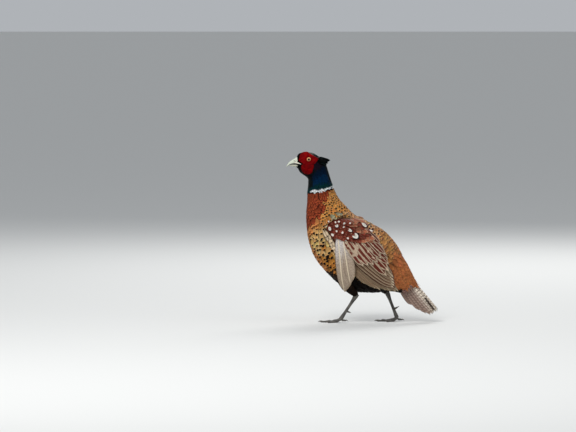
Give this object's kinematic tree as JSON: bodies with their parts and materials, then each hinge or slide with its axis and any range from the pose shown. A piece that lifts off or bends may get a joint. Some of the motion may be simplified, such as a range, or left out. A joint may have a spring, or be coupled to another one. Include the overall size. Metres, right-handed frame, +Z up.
{
  "type": "common pheasant",
  "caption": "Adult cock pheasant standing in mid stride, with an upright neck, drooping wings and a short tail.",
  "frame": {"origin": "middle of the bounding box's bottom, on the floor under the bird", "axes": "+Z up, the bird faces -X and its left side is towards -Y"},
  "size_m": [0.343, 0.153, 0.3837],
  "materials": {
    "breast_feathers": "soft overlapping feathers, golden and copper with black marks",
    "neck_feathers": "glossy blue and green feathers",
    "rump_feathers": "silky rufous feathers",
    "wing_feathers": "matt brown, maroon and cream feathers",
    "tail_feathers": "matt buff feathers with dark bars",
    "thigh_feathers": "short dark feathers",
    "bare_face": "crimson bare skin with small bulbs",
    "eye_surface": "wet and glossy",
    "bill_horn": "smooth pale horn",
    "leg_scales": "scaled grey skin",
    "claw_horn": "dark horn"
  },
  "bodies": {
    "root": {"torso": "breast_feathers", "neck": "neck_feathers", "head": "neck_feathers", "rump": "rump_feathers", "tail": "tail_feathers", "bill_upper": "bill_horn", "bill_lower": "bill_horn", "wattle_left": "bare_face", "eye_left": "eye_surface", "ear_tuft_left": "neck_feathers", "wing_left": "wing_feathers", "thigh_left": "thigh_feathers", "foot_left": "leg_scales", "spur_left": "claw_horn", "claw_left_middle": "claw_horn", "claw_left_inner": "claw_horn", "claw_left_outer": "claw_horn", "claw_left_hind": "claw_horn", "wattle_right": "bare_face", "eye_right": "eye_surface", "ear_tuft_right": "neck_feathers", "wing_right": "wing_feathers", "thigh_right": "thigh_feathers", "foot_right": "leg_scales", "spur_right": "claw_horn", "claw_right_middle": "claw_horn", "claw_right_inner": "claw_horn", "claw_right_outer": "claw_horn", "claw_right_hind": "claw_horn"}
  },
  "joints": []
}
